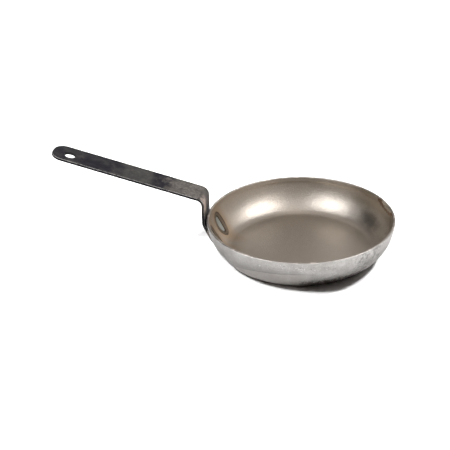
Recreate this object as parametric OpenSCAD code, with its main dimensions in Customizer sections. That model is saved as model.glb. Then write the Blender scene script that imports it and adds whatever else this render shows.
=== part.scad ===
// Omelette pan of raw carbon steel with a welded flat-bar handle.
// The pan stands on z = 0 with its axis on Z, and the handle runs out along -X.

/* [Pan] */
// Diameter over the rim
rim_d = 200; // [188:1:220]
// Height of the rim above the table
pan_h = 39; // [36:0.5:44]
// Diameter of the flat base
base_d = 146; // [124:1:160]
// Thickness of the steel sheet
sheet_t = 2.5; // [2:0.1:3]
// Outer radius where the base turns up into the wall
corner_r = 16; // [10:0.5:20]
// Steepness of the wall at the rim, in degrees
rim_lean = 87; // [84:0.5:90]
// Radius on both edges of the cut rim
rim_edge_r = 0.8; // [0.3:0.1:0.9]

/* [Handle] */
// Width of the flat bar
bar_w = 32; // [28:1:36]
// Thickness of the flat bar
bar_t = 3.2; // [2.5:0.1:4]
// Bevel on the edges of the bar
bar_bevel = 0.6; // [0.2:0.1:1]
// Gap between the upright of the handle and the rim
rim_gap = 1; // [0.5:0.1:3]
// Height at which the foot leaves the wall
foot_leave_z = 19; // [16:0.5:22]
// Height at which the foot turns straight for its lower end
foot_end_z = 10; // [8:0.5:12]
// Radius of the knee between foot and upright
knee_r = 8; // [4:0.5:10]
// Height of the handle's top corner above the rim
bend_rise = 21.5; // [16:0.5:30]
// Inner radius of the bend between upright and arm
bend_r = 6.5; // [4:0.5:9]
// Rise of the arm above the horizontal, in degrees
arm_rise = 15; // [0:1:30]
// Length of the arm from its corner to its tip
arm_len = 171.5; // [120:0.5:220]
// Corner radius at the tip of the arm
tip_r = 13; // [5:0.5:13]
// Length of the straight stretch at the lower end of the foot
foot_flat = 2; // [1:0.5:4]
// Corner radius at the lower end of the foot
foot_tip_r = 3; // [2:0.5:6]

/* [Hanging hole] */
// Diameter of the hanging hole
hole_d = 12; // [8:0.5:14]
// Distance of the hole from the tip
hole_inset = 19.5; // [15:0.5:40]
// Distance of the hole from the middle of the bar
hole_shift = 2; // [0:0.5:4]

/* [Welds] */
// Length of each weld along the edge of the foot
weld_len = 24; // [18:1:27]
// Size of the bead in the corner between wall and bar
bead_r = 3.6; // [3:0.1:4.5]
// Pitch of the ripples along the bead
ripple_pitch = 2; // [1.6:0.1:3]
// Distance of the middle of the welds below the rim, along the inside of the wall
weld_drop = 22.8; // [20:0.1:25]
// Distance from the edge of the bar in to the middle of the burnt-through metal
root_inset = 1.3; // [0:0.1:3]
// Length of the burnt-through metal seen inside the pan
root_len = 20; // [14:0.5:22]
// Width of the burnt-through metal seen inside the pan
root_w = 8.5; // [6:0.5:10]
// Radius of the ends of the burnt-through metal, as a share of its width
root_end = 0.36; // [0.3:0.01:0.45]
// Length of the dish where the sheet has drawn in around a weld
dish_len = 27; // [24:0.5:30]
// Depth of the dish
dish_depth = 0.7; // [0.4:0.05:1]
// How far the burnt-through metal lies below the dish
root_sink = 0.4; // [0.1:0.05:0.6]

/* [Fits] */
// Gap left between pieces that touch
seat_gap = 0.08; // [0.05:0.01:0.2]

/* [Hidden] */
$fn = 96;
// Largest turn between two stations along the bent bar, in degrees
turn_step = 4;
// How far a cut runs past what it cuts
over = 2;

// The wall is one arc. It ends at the rim at rim_lean, and runs into the base corner without a kink.
rim_r = rim_d / 2;
base_r = base_d / 2;
wall_dx = rim_r - base_r;
wall_dz = pan_h - corner_r;
wall_r = (wall_dx * wall_dx + wall_dz * wall_dz - corner_r * corner_r)
    / (2 * (wall_dx * sin(rim_lean) - wall_dz * cos(rim_lean) - corner_r));
wall_c = [rim_r - wall_r * sin(rim_lean), pan_h + wall_r * cos(rim_lean)];
corner_c = [base_r, corner_r];
wall_start = atan2(corner_c.x - wall_c.x, wall_c.y - corner_c.y);

// The side of the bar towards the pan runs up the wall, round the knee, past the rim and out along the arm.
upright_x = rim_r + rim_gap;
foot_r = wall_r + seat_gap;
foot_end = acos((wall_c.y - foot_end_z) / foot_r);
foot_leave = acos((wall_c.y - foot_leave_z) / foot_r);
foot_bottom = wall_c + foot_r * [sin(foot_end), -cos(foot_end)];
foot_low = foot_bottom - foot_flat * [cos(foot_end), sin(foot_end)];
foot_top = wall_c + foot_r * [sin(foot_leave), -cos(foot_leave)];
// The room for the bar starts at the base corner, or below the foot and its beads where they reach past it
room_start = min(wall_start, foot_end - (foot_flat + bead_r + over) / wall_r * 180 / PI);
shin_len = (upright_x - foot_top.x - knee_r * (1 - sin(foot_leave))) / cos(foot_leave);
shin_top = foot_top + shin_len * [cos(foot_leave), sin(foot_leave)];
knee_c = shin_top + knee_r * [-sin(foot_leave), cos(foot_leave)];
bend_out = bend_r + bar_t;
bend_run = bend_out * tan((90 - arm_rise) / 2);
bend_c = [upright_x + bend_out, pan_h + bend_rise - bend_run];
arm_start = bend_c + bend_out * [-sin(arm_rise), cos(arm_rise)];
arm_straight = arm_len - bend_run;
tip_start = arm_start + (arm_straight - tip_r) * [cos(arm_rise), sin(arm_rise)];

// The welds sit on the wall at this slope, and the burnt-through metal this far round the pan.
weld_slope = rim_lean - weld_drop / (wall_r - sheet_t) * 180 / PI;
weld_mid = wall_c + (wall_r - sheet_t) * [sin(weld_slope), -cos(weld_slope)];
weld_turn = asin((bar_w / 2 - root_inset) / weld_mid.x);
bead_turn = (weld_len - 2 * bead_r) / wall_r * 180 / PI;
// A ball of this radius cuts a dish of the right length and depth into the hollow side of the wall.
dish_r = 1 / (8 * dish_depth / (dish_len * dish_len) + 1 / (wall_r - sheet_t));

module wedge(reach, from, to) {
    middle = (from + to) / 2;
    polygon([[0, 0], reach * [cos(from), sin(from)], reach * [cos(middle), sin(middle)],
        reach * [cos(to), sin(to)]]);
}

// Part of a ring between two angles, in the plane
module ring_part(centre, inner, outer, from, to) {
    translate(centre)
        intersection() {
            difference() {
                circle(outer);
                circle(inner);
            }
            wedge(2 * outer, from, to);
        }
}

// Section of the sheet at the rim, with both cut edges rounded
module rim_section() {
    outer = wall_r - rim_edge_r;
    inner = wall_r - sheet_t + rim_edge_r;
    end = rim_lean - 90;
    ring_part(wall_c, inner, outer, wall_start - 90, end);
    for (r = [inner, outer])
        translate(wall_c)
            rotate(end - asin(rim_edge_r / r))
                translate([r, 0])
                    circle(rim_edge_r);
}

module pan_section() {
    rounded = asin(rim_edge_r / (wall_r - sheet_t + rim_edge_r));
    square([base_r, sheet_t]);
    ring_part(corner_c, corner_r - sheet_t, corner_r, -90, wall_start - 90);
    ring_part(wall_c, wall_r - sheet_t, wall_r, wall_start - 90, rim_lean - 90 - rounded);
    rim_section();
    // The corner only shares an edge with the base and with the wall, so a stretch inside the sheet ties each
    for (turn = [-90, wall_start - 90])
        translate(corner_c)
            rotate(turn)
                translate([corner_r - sheet_t / 2, 0])
                    square(sheet_t / 2, center = true);
}

// Oval with round ends and bulging sides, drawn with its length along Y
module oval(length, width) {
    end_r = width * root_end;
    rise = length / 2 - end_r;
    half = width / 2;
    side_r = (rise * rise + half * half - end_r * end_r) / (2 * (half - end_r));
    meet = side_r * rise / (side_r - end_r);
    intersection() {
        translate([half - side_r, 0]) circle(side_r);
        translate([side_r - half, 0]) circle(side_r);
        square([width, 2 * meet], center = true);
    }
    for (s = [-1, 1])
        translate([0, s * rise]) circle(end_r);
}

// Places children on the inside of the wall at a weld, with their Z axis pointing out through the sheet
module at_weld(side) {
    rotate([0, 0, 180 - side * weld_turn])
        translate([weld_mid.x, 0, weld_mid.y])
            rotate([0, 180 - weld_slope, 0])
                rotate([0, 0, 90])
                    children();
}

module pan_body() {
    root_gap = 2 * seat_gap;
    color("#8d8479")
        difference() {
            rotate_extrude() pan_section();
            for (side = [-1, 1])
                at_weld(side) {
                    intersection() {
                        translate([0, 0, dish_depth - dish_r]) sphere(dish_r);
                        cylinder(h = 2 * (dish_depth + over), d = dish_len + 2 * over, center = true);
                    }
                    linear_extrude(2 * (sheet_t + over), center = true)
                        oval(root_len + root_gap, root_w + root_gap);
                }
        }
}

function steps(from, to) = [for (i = [0 : ceil(abs(to - from) / turn_step)])
    from + (to - from) * i / ceil(abs(to - from) / turn_step)];

// Point of the bar, from a place on its pan side in the XZ plane and the slope there
function bar_point(place, slope, along, deep, y) = [
    place.x + along * cos(slope) + deep * sin(slope), y, place.y + along * sin(slope) - deep * cos(slope)];

// The eight corners of the bevelled section at a place on the bar. Round an end corner the turn narrows the
// section, and way says which end it is.
function section(place, slope, corner = 0, turn = 0, way = 1) = let(
        middle = bar_w / 2 - corner,
        edge = [way * corner * sin(turn), middle + corner * cos(turn)],
        face = edge - bar_bevel * [way * sin(turn), cos(turn)],
        low = bar_bevel,
        high = bar_t - bar_bevel)
    [for (c = [[face, 0, 1], [face, 0, -1], [edge, low, -1], [edge, high, -1],
            [face, bar_t, -1], [face, bar_t, 1], [edge, high, 1], [edge, low, 1]])
        bar_point(place, slope, c[0].x, c[1], c[2] * c[0].y)];

// The bar's sections in order, from the lower end of the foot to the tip of the arm
function bar_sections() = concat(
    [for (t = steps(90, 0)) section(foot_low, foot_end, foot_tip_r, t, -1)],
    [for (a = steps(foot_end, foot_leave)) section(wall_c + foot_r * [sin(a), -cos(a)], a)],
    [for (a = steps(foot_leave, 90)) section(knee_c + knee_r * [sin(a), -cos(a)], a)],
    [for (a = steps(90, arm_rise)) section(bend_c + bend_out * [-sin(a), cos(a)], a)],
    [for (t = steps(0, 90)) section(tip_start, arm_rise, tip_r, t)]);

// Skin over sections of eight corners each, closed at both ends by an end face between two bevels
module skin(sections) {
    last = 8 * (len(sections) - 1);
    ends = [[0, 1, 2], [0, 2, 7], [7, 2, 3], [7, 3, 6], [6, 3, 4], [6, 4, 5]];
    sides = [for (i = [0 : 8 : last - 8], k = [0 : 7]) each let(n = (k + 1) % 8)
        [[i + k, i + 8 + k, i + n], [i + n, i + 8 + k, i + 8 + n]]];
    polyhedron(
        [for (s = sections) each s],
        concat(ends, sides, [for (e = ends) [last + e[2], last + e[1], last + e[0]]]));
}

// The handle is one flat bar: a foot along the wall, a knee, an upright beside the rim, a bend and the arm
module handle() {
    color("#2a292b")
        rotate([0, 0, 180])
            difference() {
                skin(bar_sections());
                translate([arm_start.x, 0, arm_start.y])
                    rotate([0, 90 - arm_rise, 0])
                        translate([-over, hole_shift, arm_straight - hole_inset])
                            rotate([0, 90, 0])
                                cylinder(h = bar_t + 2 * over, d = hole_d);
            }
}

// Everything inside the outer face of the wall, and the gap beyond it
module wall_room(gap) {
    rotate_extrude()
        intersection() {
            translate(wall_c) circle(wall_r + gap);
            square([rim_r + over, pan_h]);
        }
}

// Room for the bar on the outside of the wall, a little wider than the bar
module bar_room() {
    w = bar_w + 2 * seat_gap;
    translate([wall_c.x, 0, wall_c.y])
        rotate([90, 0, 0])
            rotate([0, 0, room_start - 90])
                rotate_extrude(angle = rim_lean - room_start)
                    translate([wall_r, -w / 2]) square([bar_t + over, w]);
}

// One bead of overlapping beads along the edge of the foot, and the metal burnt through the sheet
module weld(side) {
    bead_n = round(weld_len / ripple_pitch);
    color("#6f7678")
        difference() {
            union() {
                difference() {
                    rotate([0, 0, 180])
                        for (i = [0 : bead_n])
                            translate([wall_c.x, -side * bar_w / 2, wall_c.y])
                                rotate([0, 90 - weld_slope + bead_turn * (0.5 - i / bead_n), 0])
                                    translate([wall_r, 0, 0]) sphere(bead_r);
                    cylinder(h = pan_h, r = base_r);
                    wall_room(seat_gap);
                }
                intersection() {
                    at_weld(side)
                        translate([0, 0, dish_depth + root_sink])
                            linear_extrude(2 * sheet_t) oval(root_len, root_w);
                    wall_room(bead_r / 2);
                }
            }
            rotate([0, 0, 180]) bar_room();
        }
}

module front_weld() { weld(-1); }
module rear_weld() { weld(1); }

pan_body();
handle();
front_weld();
rear_weld();
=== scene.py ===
"""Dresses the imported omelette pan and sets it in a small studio.

The sheet-steel body, the bent flat-bar handle and the two welds are rebuilt as fine meshes in the places of
their solids. Everything is in metres, with the pan standing on z = 0 and the handle running out along -X.
"""

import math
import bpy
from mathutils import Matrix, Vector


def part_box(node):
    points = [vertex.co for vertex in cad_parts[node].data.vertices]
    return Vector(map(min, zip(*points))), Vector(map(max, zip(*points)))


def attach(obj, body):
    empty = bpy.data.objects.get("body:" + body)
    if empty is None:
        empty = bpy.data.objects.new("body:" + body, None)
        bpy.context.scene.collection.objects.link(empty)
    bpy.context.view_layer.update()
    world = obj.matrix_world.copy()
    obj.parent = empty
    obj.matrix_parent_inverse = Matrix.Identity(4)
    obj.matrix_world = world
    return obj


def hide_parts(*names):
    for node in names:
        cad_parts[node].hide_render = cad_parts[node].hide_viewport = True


bl_info = {
    "name": "Omelette pan",
    "version": (1, 0, 0),
    "blender": (4, 5, 0),
    "location": "3D View > Sidebar > Omelette pan",
    "description": "Carbon-steel omelette pan with a welded flat-bar handle",
    "category": "Object",
}

from functools import partial
from types import SimpleNamespace

import bmesh
import bpy
import numpy as np
from bpy.props import FloatProperty, FloatVectorProperty, PointerProperty
from mathutils import Matrix

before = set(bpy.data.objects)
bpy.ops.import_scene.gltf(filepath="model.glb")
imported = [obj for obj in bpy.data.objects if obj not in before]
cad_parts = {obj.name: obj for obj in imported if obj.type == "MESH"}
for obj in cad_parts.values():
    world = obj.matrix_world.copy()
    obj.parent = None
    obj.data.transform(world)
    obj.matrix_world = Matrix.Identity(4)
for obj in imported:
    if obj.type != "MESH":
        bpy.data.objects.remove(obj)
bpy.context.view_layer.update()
HANDLE_LOW, HANDLE_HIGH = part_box("handle")

MM = 0.001
FULL_TURN = 2 * math.pi
RIGHT_ANGLE = math.pi / 2


# Settings a user would change


def length(name, description, default):
    return FloatProperty(name=name, description=description, default=default, unit="LENGTH", precision=5)


def angle(name, description, default):
    return FloatProperty(name=name, description=description, default=math.radians(default), subtype="ANGLE")


def share(name, description, default):
    return FloatProperty(name=name, description=description, default=default, min=0, max=1, subtype="FACTOR")


def strength(name, description, default, unit="NONE"):
    return FloatProperty(name=name, description=description, default=default, min=0, unit=unit)


def colour(name, description, default):
    return FloatVectorProperty(name=name, description=description, default=default, subtype="COLOR", size=3,
                               min=0, max=1)


class PanSizes(bpy.types.PropertyGroup):
    rim_d: length("Rim diameter", "Diameter over the rim", 0.2)
    pan_h: length("Height", "Height of the rim above the table", 0.039)
    base_d: length("Base diameter", "Diameter of the flat base", 0.146)
    sheet_t: length("Sheet thickness", "Thickness of the steel sheet", 0.0025)
    corner_r: length("Corner radius", "Outer radius where the base turns up into the wall", 0.016)
    rim_lean: angle("Wall lean", "Steepness of the wall at the rim", 87)
    rim_edge_r: length("Rim edge radius", "Radius on both edges of the cut rim", 0.0008)
    ridge_drop: length("Ridge drop", "Distance of the faint ridge below the rim", 0.0042)
    ridge_w: length("Ridge width", "Half width of the faint ridge", 0.0015)
    ridge_h: length("Ridge height", "Height of the faint ridge", 0.00026)
    warp: length("Warp", "How far the pressed sheet wanders from its true shape", 0.00008)


class HandleSizes(bpy.types.PropertyGroup):
    bar_w: length("Bar width", "Width of the flat bar", HANDLE_HIGH.y - HANDLE_LOW.y)
    bar_t: length("Bar thickness", "Thickness of the flat bar", 0.0032)
    edge_r: length("Edge radius", "Radius on the long edges of the bar", 0.0009)
    rim_gap: length("Rim gap", "Gap between the upright and the rim", 0.001)
    foot_leave_z: length("Foot leave height", "Height at which the foot leaves the wall", 0.019)
    foot_end_z: length("Foot end height", "Height at which the foot turns straight", 0.010)
    knee_r: length("Knee radius", "Radius of the knee between foot and upright", 0.008)
    bend_rise: length("Bend rise", "Height of the top corner above the rim", 0.0215)
    bend_r: length("Bend radius", "Inner radius of the bend under the arm", 0.0065)
    arm_rise: angle("Arm rise", "Rise of the arm above the horizontal", 15)
    arm_len: length("Arm length", "Length of the arm from its corner to its tip", 0.1715)
    tip_r: length("Tip radius", "Corner radius at the tip of the arm", 0.013)
    foot_flat: length("Foot flat", "Straight stretch at the lower end of the foot", 0.002)
    foot_tip_r: length("Foot corner radius", "Corner radius at the lower end of the foot", 0.003)
    seat_gap: length("Seat gap", "Gap left between pieces that touch", 0.00008)
    hole_d: length("Hole diameter", "Diameter of the hanging hole", 0.012)
    hole_inset: length("Hole inset", "Distance of the hole from the tip", 0.0195)
    hole_shift: length("Hole shift", "Distance of the hole from the middle of the bar", 0.002)


class WeldSizes(bpy.types.PropertyGroup):
    weld_len: length("Weld length", "Length of each weld along the edge of the foot", 0.024)
    bead_r: length("Bead size", "Size of the bead in the corner between wall and bar", 0.0036)
    ripple_pitch: length("Ripple pitch", "Pitch of the ripples along the bead", 0.002)
    weld_drop: length("Weld drop", "Distance of the welds below the rim, along the wall", 0.0228)
    root_inset: length("Root inset", "Distance from the bar's edge in to the burnt-through metal", 0.0013)
    root_len: length("Root length", "Length of the burnt-through metal", 0.020)
    root_w: length("Root width", "Width of the burnt-through metal", 0.0085)
    root_end: share("Root end", "Radius of its ends as a share of its width", 0.36)
    dish_len: length("Dish length", "Length of the drawn-in dish round the burnt-through metal", 0.027)
    dish_w: length("Dish width", "Width of the drawn-in dish", 0.018)
    dish_depth: length("Dish depth", "Depth of the dish", 0.0007)
    root_sink: length("Root sink", "How far the burnt-through metal lies below the dish", 0.0004)


class Finish(bpy.types.PropertyGroup):
    inside: colour("Inside steel", "Bare steel inside the pan", (0.47, 0.435, 0.395))
    outside: colour("Outside steel", "Bare steel outside the pan", (0.545, 0.53, 0.515))
    rim_edge: colour("Rim edge", "Cut edge of the sheet", (0.47, 0.45, 0.43))
    straw: colour("Heat tint", "Straw tint of steel beside a weld", (0.36, 0.27, 0.185))
    scorch: colour("Scorch", "Dark oxide at the edge of a weld", (0.05, 0.037, 0.027))
    stain: colour("Stain", "Burnt brown stain on the rim", (0.055, 0.026, 0.008))
    soot: colour("Soot", "Dark tarnish low on the wall", (0.062, 0.044, 0.034))
    coat: colour("Black coat", "Black coat of the handle", (0.003, 0.003, 0.005))
    worn_coat: colour("Worn coat", "Handle where the coat has worn thin", (0.068, 0.061, 0.055))
    rubbed: colour("Rubbed coat", "Pinkish patch where the coat is rubbed away", (0.33, 0.265, 0.23))
    bare_edge: colour("Bare edge", "Handle steel where the coat has chipped off", (0.48, 0.47, 0.46))
    weld_core: colour("Weld core", "Blue-grey middle of the burnt-through metal", (0.36, 0.39, 0.38))
    weld_skin: colour("Weld skin", "Oxide skin over the beads", (0.16, 0.14, 0.12))


class Studio(bpy.types.PropertyGroup):
    left_power: strength("Left soft box", "Power of the left soft box", 6, "POWER")
    right_power: strength("Right soft box", "Power of the right soft box", 6, "POWER")
    sky_power: strength("Sky", "Power of the wide lamp overhead", 1.0, "POWER")
    left_wash: strength("Left floor wash", "Strength of the left lamp that whitens the floor", 4.4)
    right_wash: strength("Right floor wash", "Strength of the right lamp on the floor", 4.8)
    back_wash: strength("Back floor wash", "Strength of the lamp behind the handle's side", 3.8)
    fill: strength("Fill", "Brightness of the room that the steel mirrors", 0.5)
    air: colour("Room", "Colour of the room that the steel mirrors", (1.0, 0.91, 0.835))
    floor: colour("Floor", "Colour of the pale floor", (0.86, 0.86, 0.86))
    mirror_share: share("Mirrored floor", "Share of the floor's brightness that the steel mirrors", 0.53)


# Mesh building


class Skin:
    """Points and faces of one piece while it is being built"""

    def __init__(self):
        self.points = []
        self.count = 0
        self.faces = []
        self.marks = {}

    def add(self, points, **marks):
        """Adds an array of points with named values and gives back their numbers in the same layout"""
        points = np.asarray(points, float)
        layout = points.shape[:-1]
        flat = points.reshape(-1, 3)
        numbers = np.arange(self.count, self.count + len(flat)).reshape(layout)
        for name, value in marks.items():
            values = np.broadcast_to(np.asarray(value, float), layout).reshape(-1)
            self.marks.setdefault(name, []).append((self.count, values))
        self.points.append(flat)
        self.count += len(flat)
        return numbers

    def cover(self, grid, keep=None, closed=False, finish=0):
        """Covers a grid of point numbers with quads; closed joins its last column to its first"""
        if closed:
            grid = np.concatenate([grid, grid[:, :1]], axis=1)
        quads = np.stack([grid[:-1, :-1], grid[:-1, 1:], grid[1:, 1:], grid[1:, :-1]], axis=-1)
        rows = np.broadcast_to(np.reshape(finish, (-1, 1)), quads.shape[:2])
        if keep is not None:
            quads, rows = quads[keep], rows[keep]
        self.faces.append((quads.reshape(-1, 4), rows.reshape(-1)))

    def fan(self, centre, ring, finish=0, **marks):
        """Closes a ring with triangles to one more point"""
        middle = np.full(len(ring), self.add(centre, **marks))
        self.faces.append((np.stack([middle, ring, np.roll(ring, -1)], axis=-1), np.full(len(ring), finish)))

    def piece(self, name, materials, shape=None):
        """Makes the mesh object; shape moves all points once they are together"""
        points = np.concatenate(self.points)
        if shape:
            points = shape(points)
        mesh = bpy.data.meshes.new(name)
        mesh.from_pydata(points.tolist(), [], [face for block, _ in self.faces for face in block.tolist()])
        finishes = np.concatenate([rows for _, rows in self.faces])
        mesh.polygons.foreach_set("material_index", finishes.astype(np.int32))
        for mark, parts in self.marks.items():
            values = np.zeros(self.count)
            for start, part in parts:
                values[start:start + len(part)] = part
            mesh.attributes.new(mark, "FLOAT", "POINT").data.foreach_set("value", values)
        for material in materials:
            mesh.materials.append(material)
        outward(mesh)
        mesh.shade_smooth()
        return put(name, mesh)


def outward(mesh):
    """Turns all faces of a closed mesh outward"""
    work = bmesh.new()
    work.from_mesh(mesh)
    bmesh.ops.recalc_face_normals(work, faces=work.faces)
    work.to_mesh(mesh)
    work.free()


def put(name, data, axes=None):
    """Puts a mesh, lamp or camera into the scene; axes are its own x, y and z and its place"""
    made = bpy.data.objects.new(name, data)
    bpy.context.scene.collection.objects.link(made)
    if axes:
        made.matrix_world = Matrix([*np.transpose(axes).tolist(), (0, 0, 0, 1)])
    return made


def steps(start, end, count):
    return np.linspace(start, end, count + 1)


def between(count):
    """Shares that cut a stretch into equal parts, without its ends"""
    return steps(0, 1, count)[1:-1]


def joined(*stretches):
    """Joins stretches that share their end values into one row of values"""
    return np.concatenate([stretches[0]] + [s[1:] for s in stretches[1:]])


def wander(points, seed, wave):
    """Smooth seeded unevenness between about -1 and 1 over points in the XY plane"""
    waves = 7
    shortest, longest = 0.7, 1.5
    peak = 1.6
    draw = np.random.RandomState(seed)
    total = np.zeros(points.shape[:-1])
    for _ in range(waves):
        way = draw.uniform(0, FULL_TURN)
        size = wave * draw.uniform(shortest, longest)
        phase = draw.uniform(0, FULL_TURN)
        run = points[..., 0] * math.cos(way) + points[..., 1] * math.sin(way)
        total += np.sin(run * FULL_TURN / size + phase)
    return total / math.sqrt(waves) / peak


# Shape of the pan's wall, worked out from its sizes as the solids are


def wall_of(pan):
    """The arc of the wall and the corner arc below it, which meet at the slope called start"""
    rim_r, base_r = pan.rim_d / 2, pan.base_d / 2
    dx, dz = rim_r - base_r, pan.pan_h - pan.corner_r
    lean = pan.rim_lean
    room = 2 * (dx * math.sin(lean) - dz * math.cos(lean) - pan.corner_r)
    radius = (dx * dx + dz * dz - pan.corner_r ** 2) / room
    x = rim_r - radius * math.sin(lean)
    z = pan.pan_h + radius * math.cos(lean)
    return SimpleNamespace(x=x, z=z, outer=radius, inner=radius - pan.sheet_t, lean=lean, rim_r=rim_r,
                           start=math.atan2(base_r - x, z - pan.corner_r), base_r=base_r,
                           corner_r=pan.corner_r, sheet_t=pan.sheet_t)


def wall_arc(wall, slope, depth):
    """Centre and radius of the arc for places of a slope, at a depth out from the inside face"""
    low = slope < wall.start
    x, z = np.where(low, wall.base_r, wall.x), np.where(low, wall.corner_r, wall.z)
    return x, z, np.where(low, wall.corner_r, wall.outer) - wall.sheet_t + depth


def section_point(wall, slope, depth):
    """Distance from the axis and height of places on the wall or its corner"""
    x, z, radius = wall_arc(wall, slope, depth)
    return np.stack([x + radius * np.sin(slope), z - radius * np.cos(slope)], -1)


def wall_point(wall, turn, slope, depth):
    """Points of the wall at a turn round the pan from the handle's side, a slope and a depth"""
    reach, height = np.moveaxis(section_point(wall, slope, depth), -1, 0)
    return np.stack([-reach * np.cos(turn), reach * np.sin(turn), height + 0 * turn], -1)


def weld_place(wall, bar_w, weld, side):
    """Where the middle of a weld is on the inside of the wall; side is -1 at the front and 1 at the rear"""
    slope = wall.lean - weld.weld_drop / wall.inner
    reach = wall.x + wall.inner * math.sin(slope)
    turn = side * math.asin((bar_w / 2 - weld.root_inset) / reach)
    along = np.array([math.sin(turn), math.cos(turn), 0])
    up = np.array([-math.cos(slope) * math.cos(turn), math.cos(slope) * math.sin(turn), math.sin(slope)])
    middle = wall_point(wall, turn, slope, 0.0)
    return SimpleNamespace(turn=turn, slope=slope, reach=reach, along=along, up=up, middle=middle)


def plane_place(place, points):
    """(u, v) of points on the plane that touches the wall at a weld"""
    off = points - place.middle
    return off @ place.along, off @ place.up


def on_wall(wall, place, u, v, depth):
    """Turn and slope of the wall's points that lie at (u, v) on the plane that touches it at a weld"""
    rounds = 12
    turn = place.turn + u / place.reach
    slope = place.slope + v / wall.inner
    for _ in range(rounds):
        now_u, now_v = plane_place(place, wall_point(wall, turn, slope, depth))
        turn = turn + (u - now_u) / place.reach
        slope = slope + (v - now_v) / wall_arc(wall, slope, depth)[2]
    return np.array([turn, slope])


def dish_way(weld, u, v):
    """0 in the middle of the dish, 1 at its edge, and more outside"""
    return np.hypot(u / (weld.dish_w / 2), v / (weld.dish_len / 2))


def dish_sink(weld, u, v):
    """Depth of the dish at (u, v), with a soft edge and a slight lip round it"""
    soft = 0.035 * MM
    faint = -60
    lip = 0.09 * MM
    lip_way = 1.03
    lip_width = 0.07
    way = dish_way(weld, u, v)
    bowl = soft * np.logaddexp(0, np.clip(weld.dish_depth * (1 - way ** 2) / soft, faint, None))
    return bowl - lip * np.exp(-((way - lip_way) / lip_width) ** 2)


def root_outline(weld, turn, grow=0.0):
    """Points of the oval of the burnt-through metal in the direction of each angle, grown by a distance"""
    count = 60
    end_r = weld.root_w * weld.root_end
    half = weld.root_w / 2
    rise = weld.root_len / 2 - end_r
    side_r = (rise ** 2 + half ** 2 - end_r ** 2) / (2 * (half - end_r))
    meet = math.atan2(rise, side_r - half)
    side = steps(-meet, meet, count)
    cap = steps(meet, math.pi - meet, count)[1:-1]
    u = np.append(half - side_r + (side_r + grow) * np.cos(side), (end_r + grow) * np.cos(cap))
    v = np.append((side_r + grow) * np.sin(side), rise + (end_r + grow) * np.sin(cap))
    u, v = np.append(u, -u), np.append(v, -v)
    around = np.arctan2(v, u)
    order = np.argsort(around)
    aim = np.arctan2(np.sin(turn) * weld.root_len / 2, np.cos(turn) * half)
    far = np.interp(aim, around[order], np.hypot(u, v)[order], period=FULL_TURN)
    return np.array([far * np.cos(aim), far * np.sin(aim)])


def root_way(weld, u, v):
    """0 in the middle of the burnt-through metal, 1 at its edge, and more outside"""
    turn = np.arctan2(v / (weld.root_len / 2), u / (weld.root_w / 2))
    return np.hypot(u, v) / np.hypot(*root_outline(weld, turn))


# Pan body

INSIDE, OUTSIDE, RIM = 0, 1, 2
BASE_ROWS = 15
CORNER_ROWS = 9
RIM_ROWS = 18
RIM_EDGE_ROWS = 6
FLOOR_ROWS = 24
PATCH_U = 12.5 * MM
PATCH_V = 16.5 * MM
PATCH_LOW = math.radians(34)
PATCH_LOW_ROWS = 6
PATCH_ROWS = 40
PATCH_COLUMNS = 32
BETWEEN_COLUMNS = 4
REST_COLUMNS = 204
OVAL_EDGE_R = 0.22 * MM
OVAL_EDGE_ROWS = 4
DISH_SHARES = np.append(steps(0, 1, 12)[1:-2], [0.9, 0.94, 0.97, 0.985, 1.0])
LIP_SHARES = (1.015, 1.03, 1.05, 1.08, 1.12)
INSIDE_JOIN_ROWS = 6
OUTSIDE_JOIN_ROWS = 8


def rim_ridge(pan, wall, slopes):
    """Height of the faint ridge that the press has left round the inside, a little below the rim"""
    way = ((wall.lean - slopes) * wall.inner - pan.ridge_drop) / pan.ridge_w
    return pan.ridge_h * np.exp(-way ** 2)


def pan_section(pan, wall, patch_high):
    """Rows of the section from the middle of the base's underside round the rim to the middle of the floor"""
    sheet, soft = pan.sheet_t, pan.rim_edge_r
    top = wall.lean + RIGHT_ANGLE
    outer_end = wall.lean - math.asin(soft / (wall.outer - soft))
    inner_end = wall.lean - math.asin(soft / (wall.inner + soft))
    corner = steps(0, PATCH_LOW, CORNER_ROWS)
    climb = joined(steps(PATCH_LOW, wall.start, PATCH_LOW_ROWS),
                   steps(wall.start, patch_high, PATCH_ROWS - PATCH_LOW_ROWS),
                   steps(patch_high, inner_end, RIM_ROWS))
    down = climb[::-1]

    def level(reach, height):
        return np.stack([reach, np.full(len(reach), height)], -1)

    def rounding(depth, slope, start, end):
        ways = steps(start, end, RIM_EDGE_ROWS)
        return section_point(wall, slope, depth) + soft * np.stack([np.sin(ways), -np.cos(ways)], -1)

    parts = [level(steps(0, wall.base_r, BASE_ROWS)[1:], 0.0),
             section_point(wall, corner[1:], sheet),
             section_point(wall, np.append(climb[1:-1], outer_end), sheet),
             rounding(sheet - soft, outer_end, outer_end, top)[1:],
             rounding(soft, inner_end, top, inner_end + math.pi)[:-1],
             section_point(wall, down, -rim_ridge(pan, wall, down)),
             section_point(wall, corner[-2::-1], 0.0),
             level(steps(wall.base_r, 0, FLOOR_ROWS + 1)[1:-1], sheet)]
    starts = np.cumsum([0] + [len(part) for part in parts])
    rows = np.arange(len(climb))
    return np.concatenate(parts), climb, starts[2] - 1 + rows, starts[5] + rows[::-1]


def rectangle_loop(rows, columns):
    """Row and column numbers once round a rectangle, in order"""
    (low, high), (left, right) = rows, columns
    across, climb = np.arange(left, right), np.arange(low, high)
    loop_rows = [0 * across + low, climb, 0 * across + high, climb[::-1] + 1]
    loop_columns = [across, 0 * climb + right, across[::-1] + 1, 0 * climb + left]
    return np.concatenate(loop_rows), np.concatenate(loop_columns)


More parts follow.
